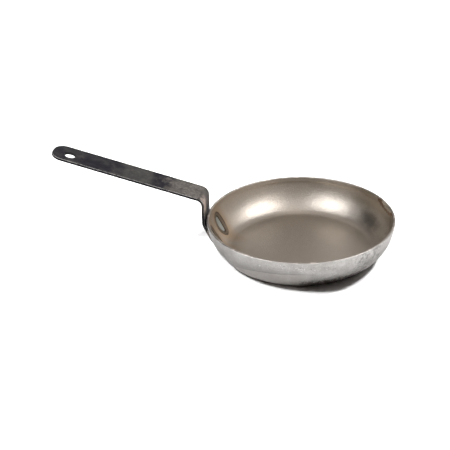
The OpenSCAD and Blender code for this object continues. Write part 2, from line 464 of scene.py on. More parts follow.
def mark_patch(skin, wall, weld, place, outer_loop, inner_loop, turns, slopes):
    """Fills one rectangle in each face of the wall with rings round the oval opening of a weld"""
    aside, above = (turns - place.turn) * place.reach, (slopes - place.slope) * wall.inner
    aim = np.arctan2(above / PATCH_V, aside / PATCH_U)
    border = np.array([turns, slopes])
    rings = []

    def inside_ring(spots, sink=0.0):
        dish = dish_sink(weld, *plane_place(place, wall_point(wall, *spots, 0.0)))
        rings.append(wall_point(wall, *spots, dish + sink))

    for way in steps(RIGHT_ANGLE, 0, OVAL_EDGE_ROWS):
        edge = root_outline(weld, aim, OVAL_EDGE_R * (1 - math.sin(way)))
        inside_ring(on_wall(wall, place, *edge, 0.0), OVAL_EDGE_R * (1 - math.cos(way)))
    dish = np.array([np.cos(aim) * weld.dish_w / 2, np.sin(aim) * weld.dish_len / 2])
    for part in DISH_SHARES:
        inside_ring(on_wall(wall, place, *(edge + (dish - edge) * part), 0.0))
    for part in LIP_SHARES:
        lip = on_wall(wall, place, *(dish * part), 0.0)
        inside_ring(lip)
    for part in between(INSIDE_JOIN_ROWS):
        inside_ring(lip + (border - lip) * part)
    inner = np.vstack([skin.add(np.array(rings)), inner_loop])
    skin.cover(inner, closed=True, finish=INSIDE)

    oval = on_wall(wall, place, *root_outline(weld, aim), wall.sheet_t)
    outer_rings = [wall_point(wall, *(oval + (border - oval) * part), wall.sheet_t)
                   for part in steps(0, 1, OUTSIDE_JOIN_ROWS)[:-1]]
    outer = np.vstack([skin.add(np.array(outer_rings)), outer_loop])
    skin.cover(outer, closed=True, finish=OUTSIDE)
    skin.cover(np.vstack([outer[:1], inner[:1]]), closed=True, finish=INSIDE)


def build_pan_body(pan, handle, weld, materials):
    """The pressed sheet: one lathe of fine rows, with an oval opening and a dish at each weld"""
    wall = wall_of(pan)
    skin = Skin()
    rear = weld_place(wall, handle.bar_w, weld, 1)
    front = weld_place(wall, handle.bar_w, weld, -1)
    near, far = rear.turn - PATCH_U / rear.reach, rear.turn + PATCH_U / rear.reach
    patch_turns = steps(near, far, PATCH_COLUMNS)
    turns = joined(steps(-near, near, BETWEEN_COLUMNS), patch_turns,
                   steps(far, FULL_TURN - far, REST_COLUMNS), FULL_TURN - patch_turns[::-1])[:-1]
    section, climb, outer_rows, inner_rows = pan_section(pan, wall, rear.slope + PATCH_V / wall.inner)
    around = np.stack([-np.cos(turns), np.sin(turns)], -1)
    heights = np.broadcast_to(section[:, None, 1:], (len(section), len(turns), 1))
    grid = skin.add(np.concatenate([section[:, None, :1] * around[None], heights], axis=-1))
    rear_columns = (BETWEEN_COLUMNS, BETWEEN_COLUMNS + PATCH_COLUMNS)
    front_columns = (rear_columns[1] + REST_COLUMNS, rear_columns[1] + REST_COLUMNS + PATCH_COLUMNS)
    keep = np.ones((len(section) - 1, len(turns)), bool)
    wrapped = np.concatenate([grid, grid[:, :1]], axis=1)
    all_turns = np.append(turns, turns[0] + FULL_TURN)
    for place, columns, back in ((rear, rear_columns, 0), (front, front_columns, FULL_TURN)):
        rows, cols = rectangle_loop((0, PATCH_ROWS), columns)
        for numbers in (outer_rows, inner_rows):
            low, high = sorted((numbers[0], numbers[PATCH_ROWS]))
            keep[low:high, columns[0]:columns[1]] = False
        mark_patch(skin, wall, weld, place, wrapped[outer_rows[rows], cols], wrapped[inner_rows[rows], cols],
                   all_turns[cols] - back, climb[rows])
    finish = np.full(len(section) - 1, INSIDE)
    finish[:outer_rows[-1]] = OUTSIDE
    finish[outer_rows[-1]:inner_rows[-1]] = RIM
    skin.cover(grid, keep=keep, closed=True, finish=finish)
    skin.fan([0.0, 0.0, 0.0], grid[0], finish=OUTSIDE)
    skin.fan([0.0, 0.0, pan.sheet_t], grid[-1], finish=INSIDE)
    skin.marks = pan_marks(np.concatenate(skin.points), weld, (front, rear))
    return skin.piece("pan_sheet", materials, lambda points: settle(points, pan, wall))


def pan_marks(points, weld, places):
    """Named values on the pan's points: how near each is to the dish and the oval of its weld"""
    far = 9.0
    near_turn = 1.0
    turn = np.arctan2(points[:, 1], -points[:, 0])
    dish, root = np.full(len(points), far), np.full(len(points), far)
    for place in places:
        u, v = plane_place(place, points)
        near = abs(turn - place.turn) < near_turn
        dish[near] = np.minimum(dish, dish_way(weld, u, v))[near]
        root[near] = np.minimum(root, root_way(weld, u, v))[near]
    return {"dish_way": [(0, dish)], "root_way": [(0, root)]}


def settle(points, pan, wall):
    """Lets the pressed sheet wander a little from its true shape, except beside the handle"""
    true_turn = math.radians(34)
    waves = ((1, 2, 0.7), (0.6, 3, 2.1), (0.35, 7, 0.4))
    floor_seed, floor_wave, floor_fade = 11, 55 * MM, 6
    reach = np.hypot(points[:, 0], points[:, 1])
    turn = np.arctan2(points[:, 1], -points[:, 0])
    calm = 1 - np.exp(-(turn / true_turn) ** 2)
    swing = sum(size * np.sin(count * turn + phase) for size, count, phase in waves)
    out = pan.warp * swing * (points[:, 2] / pan.pan_h) ** 2 * calm
    moved = points.copy()
    away = points[:, :2] / np.maximum(reach, MM)[:, None]
    moved[:, :2] -= away * (np.abs(out) / 2)[:, None]
    on_floor = (points[:, 2] > pan.sheet_t / 2) & (reach < wall.base_r)
    fade = np.minimum(1, np.clip(1 - reach / wall.base_r, 0, 1) * floor_fade)
    moved[:, 2] += on_floor * pan.warp / 2 * wander(points, floor_seed, floor_wave) * fade
    return moved


# Handle

FOOT_END_STEPS = 10
FOOT_STEPS = 8
KNEE_STEPS = 10
BEND_STEPS = 24
TIP_STEPS = 22
FINE_STEP = 1.5 * MM
ARM_STEP = 1.9 * MM
EDGE_STEPS = 6
SIDE_POINTS = 2 * (EDGE_STEPS + 1)
FACE_COLUMNS = 32
UNDER_WEAR = 0.5
END_WEAR = 0.3
HOLE_WEAR = 0.8
HOLE_PATCH = 8.5 * MM
HOLE_STEPS = 16
HOLE_FIRST = 6
HOLE_COLUMNS = 17
HOLE_EDGE_R = 0.25 * MM
HOLE_EDGE_ROWS = 5
HOLE_JOIN_ROWS = 5


def heading(slope):
    return np.array([math.cos(slope), math.sin(slope)])


def inward(slope):
    return np.array([math.sin(slope), -math.cos(slope)])


def bar_path(pan, handle, wall):
    """Stations along the pan side of the bar: place, slope, corner radius, turn round the corner, and end"""
    rise = handle.arm_rise
    upright = wall.rim_r + handle.rim_gap
    centre = np.array([wall.x, wall.z])
    foot = wall.outer + handle.seat_gap
    foot_end = math.acos((wall.z - handle.foot_end_z) / foot)
    foot_leave = math.acos((wall.z - handle.foot_leave_z) / foot)
    foot_low = centre + foot * inward(foot_end) - handle.foot_flat * heading(foot_end)
    foot_top = centre + foot * inward(foot_leave)
    shin = (upright - foot_top[0] - handle.knee_r * (1 - math.sin(foot_leave))) / math.cos(foot_leave)
    shin_top = foot_top + shin * heading(foot_leave)
    knee = shin_top - handle.knee_r * inward(foot_leave)
    bend_out = handle.bend_r + handle.bar_t
    bend_run = bend_out * math.tan((RIGHT_ANGLE - rise) / 2)
    bend = np.array([upright + bend_out, pan.pan_h + handle.bend_rise - bend_run])
    arm_start = bend - bend_out * inward(rise)
    arm_straight = handle.arm_len - bend_run
    way = heading(rise)
    tip_start = arm_start + (arm_straight - handle.tip_r) * way
    hole = arm_start + (arm_straight - handle.hole_inset) * way
    patch_start, patch_end = hole - HOLE_PATCH * way, hole + HOLE_PATCH * way
    stations = [(foot_low, foot_end, handle.foot_tip_r, turn, -1)
                for turn in steps(RIGHT_ANGLE, 0, FOOT_END_STEPS)]

    def arc(middle, radius, start, end, count):
        for slope in steps(start, end, count):
            stations.append((middle + radius * inward(slope), slope, 0.0, 0.0, 1))

    def straight(start, end, slope, spacing):
        count = max(1, math.ceil(np.linalg.norm(end - start) / spacing))
        for part in between(count):
            stations.append((start + (end - start) * part, slope, 0.0, 0.0, 1))

    arc(centre, foot, foot_end, foot_leave, FOOT_STEPS)
    straight(foot_top, shin_top, foot_leave, FINE_STEP)
    arc(knee, handle.knee_r, foot_leave, RIGHT_ANGLE, KNEE_STEPS)
    straight(np.array([upright, knee[1]]), np.array([upright, bend[1]]), RIGHT_ANGLE, FINE_STEP)
    arc(bend, -bend_out, RIGHT_ANGLE, rise, BEND_STEPS)
    straight(arm_start, patch_start, rise, ARM_STEP)
    first = len(stations)
    for part in steps(0, 1, HOLE_STEPS):
        place = patch_start + (patch_end - patch_start) * part
        stations.append(arm_station(place, rise, tip_start, way, handle.tip_r))
    past = max(0.0, float((patch_end - tip_start) @ way))
    if past == 0:
        straight(patch_end, tip_start, rise, ARM_STEP)
        stations.append((tip_start, rise, handle.tip_r, 0.0, 1))
    turn_start = math.asin(min(1.0, past / handle.tip_r))
    for turn in steps(turn_start, RIGHT_ANGLE, TIP_STEPS)[1:]:
        stations.append((tip_start, rise, handle.tip_r, turn, 1))
    return stations, SimpleNamespace(first=first, hole=hole, way=way)


def arm_station(place, slope, tip_start, way, tip_r):
    """A station of the arm, which lies on the rounded tip where it is past the start of it"""
    past = float((place - tip_start) @ way)
    if past <= 0:
        return place, slope, 0.0, 0.0, 1
    return tip_start, slope, tip_r, math.asin(past / tip_r), 1


def bar_ring(handle, station):
    """Points round the bar's rounded section at a station, with how far each lies on an edge"""
    place, slope, corner, turn, end = station
    out = np.array([end * math.sin(turn), math.cos(turn)])
    edge = np.array([0, handle.bar_w / 2 - corner]) + corner * out
    bends = steps(0, RIGHT_ANGLE, EDGE_STEPS)
    inset = handle.edge_r * (1 - np.sin(bends))
    sunk = handle.edge_r * (1 - np.cos(bends))
    deep = np.append(sunk, handle.bar_t - sunk[::-1])
    worn = np.append(np.sin(2 * bends), np.sin(2 * bends)[::-1] * UNDER_WEAR)
    right = edge - np.append(inset, inset[::-1])[:, None] * out
    left = right[::-1] * np.array([1, -1])
    parts = between(FACE_COLUMNS)[:, None]
    face = np.zeros(FACE_COLUMNS - 1)
    outline = np.concatenate([right, right[-1] + (left[0] - right[-1]) * parts,
                              left, left[-1] + (right[0] - left[-1]) * parts])
    deeps = np.concatenate([deep, face + handle.bar_t, deep[::-1], face])
    flat = place + outline[:, :1] * heading(slope) + deeps[:, None] * inward(slope)
    worns = np.concatenate([worn, face, worn[::-1], face])
    return np.stack([-flat[:, 0], -outline[:, 1], flat[:, 1]], -1), worns


def end_cap(skin, ring, points):
    """Closes an end of the bar with a grid between the two sides of its last section"""
    left = slice(SIDE_POINTS + FACE_COLUMNS - 1, 2 * SIDE_POINTS + FACE_COLUMNS - 1)
    grid = np.zeros((SIDE_POINTS, FACE_COLUMNS + 1), int)
    grid[:, 0] = ring[:SIDE_POINTS]
    grid[:, -1] = ring[left][::-1]
    grid[0] = np.append(ring[left.stop - 1:], ring[0])[::-1]
    grid[-1] = ring[SIDE_POINTS - 1:left.start + 1]
    a, b = points[:SIDE_POINTS, None][1:-1], points[left, None][::-1][1:-1]
    grid[1:-1, 1:-1] = skin.add(a + (b - a) * between(FACE_COLUMNS)[:, None], edge=END_WEAR)
    skin.cover(grid)


def build_handle(pan, handle, materials):
    """The bent flat bar with rounded edges, a blunt tip and a punched hanging hole"""
    stations, arm = bar_path(pan, handle, wall_of(pan))
    skin = Skin()
    made = [bar_ring(handle, station) for station in stations]
    rings = np.array([points for points, _ in made])
    grid = skin.add(rings, edge=np.array([worn for _, worn in made]))
    keep = np.ones((len(stations) - 1, grid.shape[1]), bool)
    rows = (arm.first, arm.first + HOLE_STEPS)
    under_first = SIDE_POINTS - 1 + HOLE_FIRST
    under_columns = (under_first, under_first + HOLE_COLUMNS)
    # The two faces run opposite ways, so columns that face each other always have this sum
    facing = 3 * SIDE_POINTS + 2 * FACE_COLUMNS - 3
    for left, right in (under_columns, (facing - under_columns[1], facing - under_columns[0])):
        keep[rows[0]:rows[1], left:right] = False
    loop_rows, under = rectangle_loop(rows, under_columns)
    faces = [(rings[loop_rows, columns], grid[loop_rows, columns]) for columns in (facing - under, under)]
    hole_rings(skin, handle, arm, faces)
    skin.cover(grid, keep=keep, closed=True)
    end_cap(skin, grid[0], rings[0])
    end_cap(skin, grid[-1], rings[-1])
    return skin.piece("handle_bar", materials)


def hole_rings(skin, handle, arm, faces):
    """Rings round the hanging hole in the upper and under face of the arm, and its wall between them"""
    along = np.array([-arm.way[0], 0, arm.way[1]])
    across = np.array([0, 1.0, 0])
    deep = np.array([-arm.way[1], 0, -arm.way[0]])
    middle = np.array([-arm.hole[0], -handle.hole_shift, arm.hole[1]])
    off = faces[0][0] - middle
    aim = np.arctan2(off @ across, off @ along)
    spin = np.cos(aim)[:, None] * along + np.sin(aim)[:, None] * across
    walls = []
    for (points, loop), depth, flip in zip(faces, (0.0, handle.bar_t), (1, -1)):
        rings, worn = [], []
        for bend in steps(RIGHT_ANGLE, 0, HOLE_EDGE_ROWS):
            sink = flip * HOLE_EDGE_R * (1 - math.cos(bend))
            radius = handle.hole_d / 2 + HOLE_EDGE_R * (1 - math.sin(bend))
            rings.append(middle + deep * depth + spin * radius + deep * sink)
            worn.append(math.sin(2 * bend) * HOLE_WEAR)
        last = rings[-1]
        for part in between(HOLE_JOIN_ROWS):
            rings.append(last + (points - last) * part)
            worn.append(0.0)
        numbers = skin.add(np.array(rings), edge=np.array(worn)[:, None])
        skin.cover(np.vstack([numbers, loop]), closed=True)
        walls.append(numbers[0])
    skin.cover(np.array(walls), closed=True)


# Welds

ROOT_COLUMNS = 160
ROOT_FLAT = 0.9
ROOT_SHARES = np.append(steps(0, ROOT_FLAT, 15)[1:], [0.94, 0.97, 0.99, 1.0])[::-1]
BACK_SHARES = (0.5, 1.0)
ROOT_CORE, SKIN_CORE = 1.0, 2.0
BEAD_SEED = 5
BEAD_STATIONS = 96
BEAD_STEPS = 16
BEAD_LUMPS = ((0.07, 3.1 * MM), (0.05, 1.7 * MM))


def build_weld(name, side, pan, handle, weld, materials):
    """One weld: a rippled bead along the edge of the foot, and the metal burnt through the sheet"""
    wall = wall_of(pan)
    place = weld_place(wall, handle.bar_w, weld, side)
    skin = Skin()
    root_plate(skin, wall, weld, handle, place)
    bead(skin, wall, weld, handle, place, side)
    return skin.piece(name, materials)


def root_plate(skin, wall, weld, handle, place):
    """The plug of burnt-through metal, a little below the dish inside the pan"""
    soft = 0.25 * MM
    swell = 0.12 * MM
    ripple_depth, ripple_step, ripple_bow = 0.03 * MM, 0.9 * MM, 2.6 * MM
    behind = wall.sheet_t + 0.04 * MM
    edge = root_outline(weld, np.arange(ROOT_COLUMNS) * FULL_TURN / ROOT_COLUMNS, -handle.seat_gap)
    backs = [on_wall(wall, place, *(edge * part), wall.sheet_t) for part in BACK_SHARES]
    rings = [wall_point(wall, *spots, behind) for spots in backs]
    for part in ROOT_SHARES:
        u, v = edge * part
        past = max(0.0, (part - ROOT_FLAT) / (1 - ROOT_FLAT))
        rounded = soft * (1 - math.sqrt(max(0.0, 1 - past ** 2)))
        ripple = ripple_depth * np.sin(v / ripple_step + (u / ripple_bow) ** 2)
        sink = dish_sink(weld, u, v) + weld.root_sink + rounded - swell * (1 - part ** 2)
        rings.append(wall_point(wall, *on_wall(wall, place, u, v, 0.0), sink + ripple * (1 - part)))
    cores = np.append([ROOT_CORE] * len(BACK_SHARES), ROOT_SHARES)
    numbers = skin.add(np.array(rings), core=cores[:, None])
    skin.cover(numbers, closed=True)
    sink = dish_sink(weld, 0.0, 0.0) + weld.root_sink - swell
    for depth, ring, core in ((sink, numbers[-1], 0.0), (behind, numbers[0], ROOT_CORE)):
        skin.fan(wall_point(wall, place.turn, place.slope, depth), ring, core=core)


def bead(skin, wall, weld, handle, place, side):
    """The rippled bead in the corner between the wall and the side of the bar"""
    fullness, ripple_depth, ripple_shade = 0.95, 0.07, 0.5
    chevron = 0.9 * MM
    least_end = 0.02
    half_run = weld.weld_len / 2
    corner_y, corner_r = handle.bar_w / 2 + handle.seat_gap, wall.outer + handle.seat_gap
    phases = np.random.RandomState(BEAD_SEED + side).uniform(0, FULL_TURN, len(BEAD_LUMPS))
    bends = steps(0, RIGHT_ANGLE, BEAD_STEPS)
    crown = np.sin(2 * bends)
    rows, marks = [], []
    for part in steps(-1, 1, BEAD_STATIONS):
        run = part * half_run
        past = max(0.0, (abs(run) - half_run + weld.bead_r) / weld.bead_r)
        cap = math.sqrt(max(0.0, 1 - past ** 2))
        ripple = np.abs(np.sin((run + crown * chevron) * math.pi / weld.ripple_pitch))
        lump = sum(size * math.sin(run / wave + phase) for (size, wave), phase in zip(BEAD_LUMPS, phases))
        size = weld.bead_r * cap * (fullness + lump * crown - ripple_depth * (1 - ripple) * crown ** 0.5)
        size = np.minimum(size, weld.bead_r * max(cap, least_end))
        away = np.append(corner_y + size * np.cos(bends), corner_y)
        high = np.append(corner_r + size * np.sin(bends), corner_r)
        slope = place.slope + part * half_run / wall.outer
        reach = wall.x + high * math.sin(slope)
        x = -np.sqrt(np.maximum(reach ** 2 - away ** 2, 0))
        rows.append(np.stack([x, side * away, wall.z - high * math.cos(slope)], -1))
        # The mark is lower in the ripple troughs and at the bead's root, where the skin gets painted shade
        marks.append(np.append(SKIN_CORE + ripple_shade * ripple, SKIN_CORE))
    numbers = skin.add(np.array(rows), core=np.array(marks))
    skin.cover(numbers, closed=True)
    for end in (0, -1):
        skin.fan(rows[end].mean(0), numbers[end], core=SKIN_CORE)


# Materials


class Nodes:
    """Short ways to place and join shader nodes in one tree"""

    def __init__(self, tree):
        self.tree = tree

    def new(self, kind, **settings):
        node = self.tree.nodes.new(kind)
        for name, value in settings.items():
            setattr(node, name, value)
        return node

    def feed(self, socket, value):
        if isinstance(value, bpy.types.NodeSocket):
            self.tree.links.new(value, socket)
        else:
            socket.default_value = value

    def feed_all(self, sockets, values):
        for name, value in values.items():
            self.feed(sockets[name.replace("_", " ")], value)

    def filled(self, kind, values, **settings):
        """A new node with its first inputs fed in order"""
        node = self.new(kind, **settings)
        for socket, value in zip(node.inputs, values):
            self.feed(socket, value)
        return node.outputs

    def place(self):
        return self.new("ShaderNodeTexCoord").outputs["Object"]

    def mark(self, name):
        return self.new("ShaderNodeAttribute", attribute_name=name).outputs["Fac"]

    def math(self, operation, *values):
        return self.filled("ShaderNodeMath", values, operation=operation)[0]

    def times(self, a, b):
        return self.math("MULTIPLY", a, b)

    def scaled(self, value, factor, start):
        return self.math("MULTIPLY_ADD", value, factor, start)

    def noise(self, scale, detail, roughness=0.55, distortion=0.0):
        node = self.new("ShaderNodeTexNoise")
        self.feed_all(node.inputs, {"Vector": self.place(), "Scale": scale, "Detail": detail,
                                    "Roughness": roughness, "Distortion": distortion})
        return node.outputs["Fac"]

    def ragged(self, value, noise, size):
        """A value pushed up and down by a noise, over a whole range of size"""
        return self.math("ADD", value, self.scaled(noise, size, -size / 2))

    def spread(self, value, low, high, to_low=0.0, to_high=1.0, ramp="SMOOTHSTEP"):
        """Goes from to_low to to_high while a value goes from low to high"""
        values = (value, low, high, to_low, to_high)
        return self.filled("ShaderNodeMapRange", values, clamp=True, interpolation_type=ramp)[0]

    def window(self, value, start, full_from, full_to, end):
        """1 where a value lies within a stretch, falling softly to 0 at its ends"""
        return self.times(self.spread(value, start, full_from), self.spread(value, full_to, end, 1.0, 0.0))

    def oval(self, x, y, middle_x, half_x, middle_y, half_y):
        """Distance from the middle of an oval, which is 1 on its outline"""
        squares = [self.math("POWER", self.math("DIVIDE", self.math("SUBTRACT", value, middle), half), 2.0)
                   for value, middle, half in ((x, middle_x, half_x), (y, middle_y, half_y))]
        return self.math("SQRT", self.math("ADD", *squares))

    def mix(self, factor, a, b):
        node = self.new("ShaderNodeMix", data_type="RGBA")
        self.feed(node.inputs[0], factor)
        for socket, value in ((node.inputs[6], a), (node.inputs[7], b)):
            self.feed(socket, value if isinstance(value, bpy.types.NodeSocket) else solid(value))
        return node.outputs[2]

    def paint(self, base, *layers):
        """Lays colours over a base in order; each layer is a mask, its cover at most, and its colour"""
        for mask, cover, tint in layers:
            base = self.mix(self.times(mask, cover), base, tint)
        return base

    def parts(self, vector):
        return self.filled("ShaderNodeSeparateXYZ", [vector])

    def group(self, name, **values):
        """Places a shared effect, which is made when the first material asks for it"""
        node = self.new("ShaderNodeGroup", node_tree=bpy.data.node_groups.get(name) or EFFECTS[name]())
        self.feed_all(node.inputs, values)
        return node.outputs

    def grain(self, scale, cloud):
        return self.group("Fine grain", Scale=scale, Cloud_scale=cloud)

    def blotches(self, scale, push, soft):
        return self.group("Blotches", Scale=scale, Push=push, Softness=soft)["Mask"]


def solid(tint):
    return (*tuple(tint)[:3], 1.0)


def toned(tint, level, tone=(1.0, 1.0, 1.0)):
    """A colour made darker or lighter by a level, and shifted by a tone"""
    return tuple(min(1.0, part * level * shift) for part, shift in zip(tuple(tint)[:3], tone))


def effect(name, outputs, **inputs):
    """Starts a shader node group with named inputs and outputs, each a number"""
    n = Nodes(bpy.data.node_groups.new(name, "ShaderNodeTree"))
    sockets, number = n.tree.interface, "NodeSocketFloat"
    for label, default in inputs.items():
        socket = sockets.new_socket(label.replace("_", " "), in_out="INPUT", socket_type=number)
        socket.default_value = default
    for label in outputs:
        sockets.new_socket(label, in_out="OUTPUT", socket_type=number)
    return n, n.new("NodeGroupInput").outputs, n.new("NodeGroupOutput").inputs


def fine_grain_effect():
    """Fine granular skin of pickled sheet steel: a speckle mask, and a height for the bump"""
    n, given, out = effect("Fine grain", ("Speck", "Cloud", "Height"), Scale=1400.0, Cloud_scale=160.0)
    fine = n.noise(given["Scale"], detail=2.0, roughness=0.6)
    cloud = n.noise(given["Cloud scale"], detail=4.0, roughness=0.6)
    n.feed(out["Speck"], n.spread(fine, 0.3, 0.7, ramp="LINEAR"))
    n.feed(out["Cloud"], n.spread(cloud, 0.3, 0.7, ramp="LINEAR"))
    n.feed(out["Height"], n.scaled(fine, 0.7, n.times(cloud, 0.3)))
    return n.tree


def blotch_effect():
    """Uneven patches over a surface, more of them where Push is higher"""
    n, given, out = effect("Blotches", ["Mask"], Scale=60.0, Push=0.0, Softness=0.12)
    spots = n.noise(given["Scale"], detail=6.0, roughness=0.62, distortion=0.6)
    low, high = (n.math(way, 0.5, given["Softness"]) for way in ("SUBTRACT", "ADD"))
    n.feed(out["Mask"], n.spread(n.math("ADD", spots, given["Push"]), low, high))
    return n.tree


def edge_wear_effect():
    """Broken line of wear along rounded edges, from the edge value of the mesh"""
    n, given, out = effect("Edge wear", ["Mask"], Edge=0.0, Scale=240.0, Amount=0.5)
    patchy = n.noise(given["Scale"], detail=5.0, roughness=0.7)
    narrow = n.math("POWER", given["Edge"], 3.0)
    worn = n.times(narrow, n.scaled(given["Amount"], 1.2, patchy))
    n.feed(out["Mask"], n.spread(worn, 0.62, 0.9))
    return n.tree


EFFECTS = {"Fine grain": fine_grain_effect, "Blotches": blotch_effect, "Edge wear": edge_wear_effect}
METAL = 1.0


def shader(name):
    """An empty material with its Principled shader; gives the node helper and the shader's inputs"""
    material = bpy.data.materials.new(name)
    material.use_nodes = True
    material.node_tree.nodes.clear()
    n = Nodes(material.node_tree)
    surface = n.new("ShaderNodeBsdfPrincipled")
    n.feed(n.new("ShaderNodeOutputMaterial").inputs["Surface"], surface.outputs[0])
    return material, n, surface.inputs


def dress(n, surface, base, metallic, rough, grain, bump, depth):
    """Sets the colour, metal and roughness of a material's shader, with the fine grain as its bump"""
    raised = n.new("ShaderNodeBump")
    n.feed_all(raised.inputs, {"Strength": bump, "Distance": depth, "Height": grain["Height"]})
    n.feed_all(surface, {"Base Color": base, "Metallic": metallic, "Roughness": rough,
                         "Normal": raised.outputs["Normal"]})


# Places of marks on the pan, with turns in radians from the side opposite the handle towards the far side

# The middle and half size of an oval, as turns and then as heights
BLOTCH = (math.radians(36), math.radians(13), 14.5 * MM, 8 * MM)
STAIN = (math.radians(23), math.radians(12.5), 39.2 * MM, 7.6 * MM)
# The crease is highest at one turn, and falls with the square of the turn away from it
CREASE_TOP = 24.5 * MM
CREASE_TURN = -1.536
CREASE_FALL = 18.06 * MM
# Stretches: where a mark starts, is full from, is full to, and ends
STAIN_LINE = (0.56, 0.78, 1.0, 1.25)
SHADED_WALL_TURNS = (-0.9, -0.1, 0.75, 1.15)
CREASE_TURNS = (-2.5, -2.2, -1.55, -1.25)
PITTED_HEIGHTS = (27 * MM, 30 * MM, 34 * MM, 37 * MM)
PITTED_TURNS = (-2.1, -1.85, -1.2, -0.95)
SCUFFED_TURNS = (-0.95, -0.8, -0.5, -0.35)
SOOTY_TURNS = (-1.62, -1.3, -0.75, -0.5)
TARNISHED_TURNS = (-1.68, -1.5, 3.0, 3.2)


def inside_steel(finish):
    """Satin raw steel inside the pan, with straw and dark heat tints round the welds, painted shade and light
    on its floor, and painted shade on the upper right wall
    """
    material, n, surface = shader("Inside steel")
    steel = partial(toned, finish.inside)
    grain = n.grain(scale=760.0, cloud=95.0)
    patches = n.blotches(scale=26.0, push=0.0, soft=0.2)
    wobble = n.noise(scale=130.0, detail=3.0)
    x, y, z = n.parts(n.place())
    turn = n.math("ARCTAN2", y, x)
    floor = n.spread(z, 10 * MM, 4 * MM)
    # Painted shade darkens the floor on the handle's side, and painted light brightens it on the far side
    painted_floor_shade = n.times(floor, n.spread(x, -5 * MM, -55 * MM))
    painted_floor_light = n.times(floor, n.spread(x, 5 * MM, 55 * MM))
    high = n.spread(z, 30.5 * MM, 34.5 * MM)
    dish = n.mark("dish_way")
    away = n.ragged(dish, wobble, 0.5)
    tint = n.spread(away, 2.3, 1.05)
    ring = n.spread(away, 1.12, 0.98)
    dish_line = n.spread(n.math("ABSOLUTE", n.math("SUBTRACT", dish, 1.02)), 0.11, 0.02)
    pit = n.spread(n.mark("root_way"), 1.14, 1.02)
    blotch = n.spread(n.ragged(n.oval(turn, z, *BLOTCH), wobble, 0.9), 1.25, 0.2)
    # Painted shade: the upper right wall is darker and browner, for the dark room that it mirrors
    painted_wall_shade = n.times(n.window(turn, *SHADED_WALL_TURNS), n.spread(z, 18 * MM, 26 * MM))
    chips, burnt = rim_stain(n, turn, z)
    base = n.paint(
        finish.inside,
        (grain["Speck"], 0.5, steel(0.62)),
        (grain["Cloud"], 0.25, steel(0.84, (1.0, 0.97, 0.93))),
        (patches, 0.16, steel(1.1, (1.04, 0.98, 0.92))),
        (painted_floor_shade, 0.8, steel(0.75)),
        (painted_floor_light, 0.8, steel(1.12)),
        (high, 0.3, steel(0.6, (1.05, 0.95, 0.83))),
        (tint, 0.75, finish.straw),
        (ring, 0.8, toned(finish.straw, 0.3, (0.85, 0.95, 1.05))),
        (dish_line, 0.65, finish.scorch),
        (pit, 0.92, finish.scorch),
        (blotch, 0.55, steel(0.2)),
        (painted_wall_shade, 0.6, steel(0.5, (1.05, 0.96, 0.8))),
        (chips, 0.8, steel(1.4, (0.97, 1.0, 0.95))),
        (burnt, 1.0, finish.stain),
    )
    rough = n.scaled(patches, 0.05, n.scaled(grain["Cloud"], 0.08, 0.31))
    dress(n, surface, base, n.scaled(burnt, -0.8, METAL), rough, grain, bump=1.0, depth=0.3 * MM)
    return material


def rim_stain(n, turn, height):
    """Masks of the burnt stain on the rim: pale chips at the edge, and a dark line round them"""
    way = n.ragged(n.oval(turn, height, *STAIN), n.noise(scale=420.0, detail=4.0), 0.7)
    chips = n.times(n.spread(way, 0.95, 0.8), n.blotches(scale=900.0, push=0.06, soft=0.06))
    return chips, n.window(way, *STAIN_LINE)


def outside_steel(finish):
    """Greyer, mottled steel outside the pan, with painted light from the handle's side to the far side,
    painted shade along a faint crease, pits, painted glints and soot low on the wall
    """
    material, n, surface = shader("Outside steel")
    steel = partial(toned, finish.outside)
    grain = n.grain(scale=900.0, cloud=120.0)
    patches = n.blotches(scale=48.0, push=0.02, soft=0.16)
    wobble = n.noise(scale=90.0, detail=4.0)
    x, y, z = n.parts(n.place())
    turn = n.math("ARCTAN2", y, x)
    bow = n.math("POWER", n.math("SUBTRACT", turn, CREASE_TURN), 2.0)
    over = n.ragged(n.scaled(bow, CREASE_FALL, n.math("SUBTRACT", z, CREASE_TOP)), wobble, 2.4 * MM)
    front = n.window(turn, *CREASE_TURNS)
    below = n.times(n.spread(over, 0.4 * MM, -1.6 * MM), front)
    # Painted shade: a thin dark line along the faint crease, which the mesh doesn't have
    crease = n.times(n.spread(n.math("ABSOLUTE", over), 0.9 * MM, 0.2 * MM), front)
    band = n.times(n.window(z, *PITTED_HEIGHTS), n.window(turn, *PITTED_TURNS))
    pits = n.times(n.blotches(scale=520.0, push=-0.14, soft=0.03), n.scaled(band, 0.7, 0.25))
    # Painted glints: bright specks among the pits, for light caught by small bumps
    painted_sparks = n.times(n.blotches(scale=610.0, push=-0.13, soft=0.03), n.scaled(band, 0.8, 0.1))
    scuff = n.blotches(scale=190.0, push=n.scaled(n.window(turn, *SCUFFED_TURNS), 0.17, -0.21), soft=0.06)
    drip = n.ragged(z, n.noise(scale=200.0, detail=8.0), 22 * MM)
    drip = n.ragged(drip, n.noise(scale=800.0, detail=4.0), 12 * MM)
    soot = n.times(n.spread(drip, 14 * MM, 8 * MM), n.window(turn, *SOOTY_TURNS))
    tarnish = n.times(n.spread(z, 4 * MM, 1 * MM), n.window(turn, *TARNISHED_TURNS))
    # Painted light: the wall is darker on the handle's side and lighter on the far side
    painted_side_light = n.spread(x, -90 * MM, 80 * MM, ramp="LINEAR")
    base = n.paint(
        n.mix(painted_side_light, steel(0.86), steel(1.16)),
        (grain["Speck"], 0.75, steel(0.6)),
        (patches, 0.65, steel(0.62, (1.0, 0.98, 0.96))),
        (below, 0.42, steel(1.18, (1.03, 0.98, 0.95))),
        (crease, 0.42, steel(0.35)),
        (pits, 1.0, steel(0.25)),
        (painted_sparks, 1.0, steel(2.1)),
        (scuff, 0.6, steel(0.3)),
        (n.math("MAXIMUM", soot, tarnish), 0.85, finish.soot),
    )
    dress(n, surface, base, METAL, n.scaled(patches, 0.12, 0.38), grain, bump=1.0, depth=0.45 * MM)
    return material


